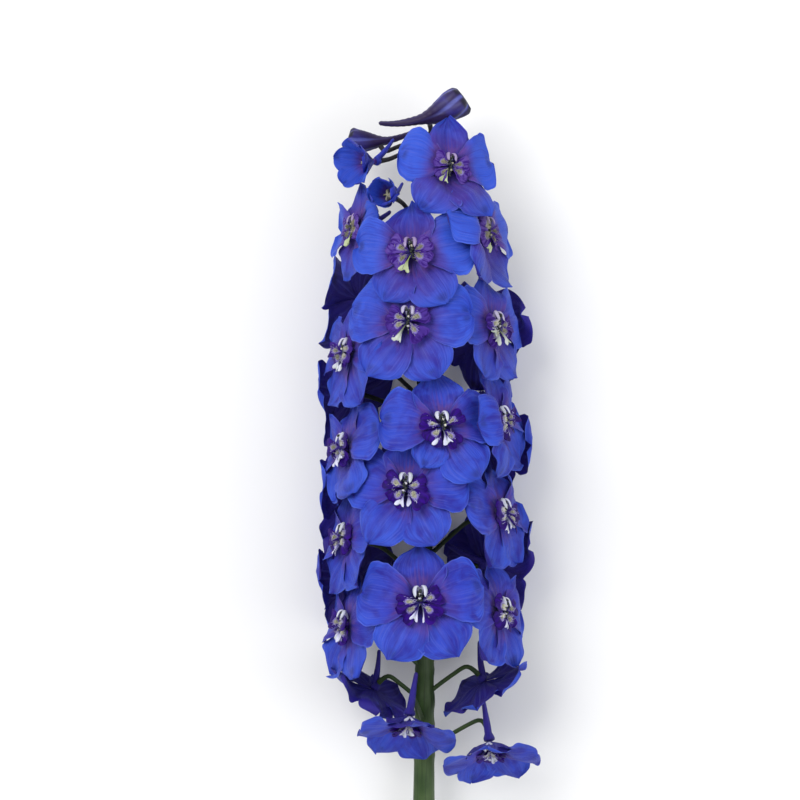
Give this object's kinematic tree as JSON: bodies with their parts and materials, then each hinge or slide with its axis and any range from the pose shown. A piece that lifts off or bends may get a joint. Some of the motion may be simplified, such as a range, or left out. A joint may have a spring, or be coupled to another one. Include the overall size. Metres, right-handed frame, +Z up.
{
  "type": "delphinium flower spike",
  "caption": "Cut delphinium spike lying on its side: a long green stem with blue spurred florets set all round it, each with a pale-bearded dark eye, and dark buds at the tip.",
  "frame": {"origin": "middle of the outline on the surface that the spike lies on", "axes": "+Y along the stem from its cut end to the buds, +Z up from the surface, +X to the right seen from above with the buds at the top"},
  "size_m": [0.1135, 0.4793, 0.0869],
  "materials": {
    "sepal": "thin satin petal, royal blue with fine radial veins and a violet tint towards the throat",
    "bee": "matt dark violet lobes with cream hairs and white lower petals",
    "bud": "downy indigo with paler stripes",
    "stem": "fresh green, faintly ribbed, with dark pedicels"
  },
  "bodies": {
    "root": {"bud_1": "bud", "bud_2": "bud", "bud_3": "bud", "floret_01_bee": "bee", "floret_01_sepals": "sepal", "floret_02_bee": "bee", "floret_02_sepals": "sepal", "floret_03_bee": "bee", "floret_03_sepals": "sepal", "floret_04_bee": "bee", "floret_04_sepals": "sepal", "floret_05_bee": "bee", "floret_05_sepals": "sepal", "floret_06_bee": "bee", "floret_06_sepals": "sepal", "floret_07_bee": "bee", "floret_07_sepals": "sepal", "floret_08_bee": "bee", "floret_08_sepals": "sepal", "floret_09_bee": "bee", "floret_09_sepals": "sepal", "floret_10_bee": "bee", "floret_10_sepals": "sepal", "floret_11_bee": "bee", "floret_11_sepals": "sepal", "floret_12_bee": "bee", "floret_12_sepals": "sepal", "floret_13_bee": "bee", "floret_13_sepals": "sepal", "floret_14_bee": "bee", "floret_14_sepals": "sepal", "floret_15_bee": "bee", "floret_15_sepals": "sepal", "floret_16_bee": "bee", "floret_16_sepals": "sepal", "floret_17_bee": "bee", "floret_17_sepals": "sepal", "floret_18_bee": "bee", "floret_18_sepals": "sepal", "floret_19_bee": "bee", "floret_19_sepals": "sepal", "floret_20_bee": "bee", "floret_20_sepals": "sepal", "floret_21_bee": "bee", "floret_21_sepals": "sepal", "floret_22_bee": "bee", "floret_22_sepals": "sepal", "floret_23_bee": "bee", "floret_23_sepals": "sepal", "floret_24_bee": "bee", "floret_24_sepals": "sepal", "floret_25_bee": "bee", "floret_25_sepals": "sepal", "floret_26_bee": "bee", "floret_26_sepals": "sepal", "floret_27_bee": "bee", "floret_27_sepals": "sepal", "half_open_1": "bud", "half_open_2": "bud", "stem": "stem"}
  },
  "joints": []
}
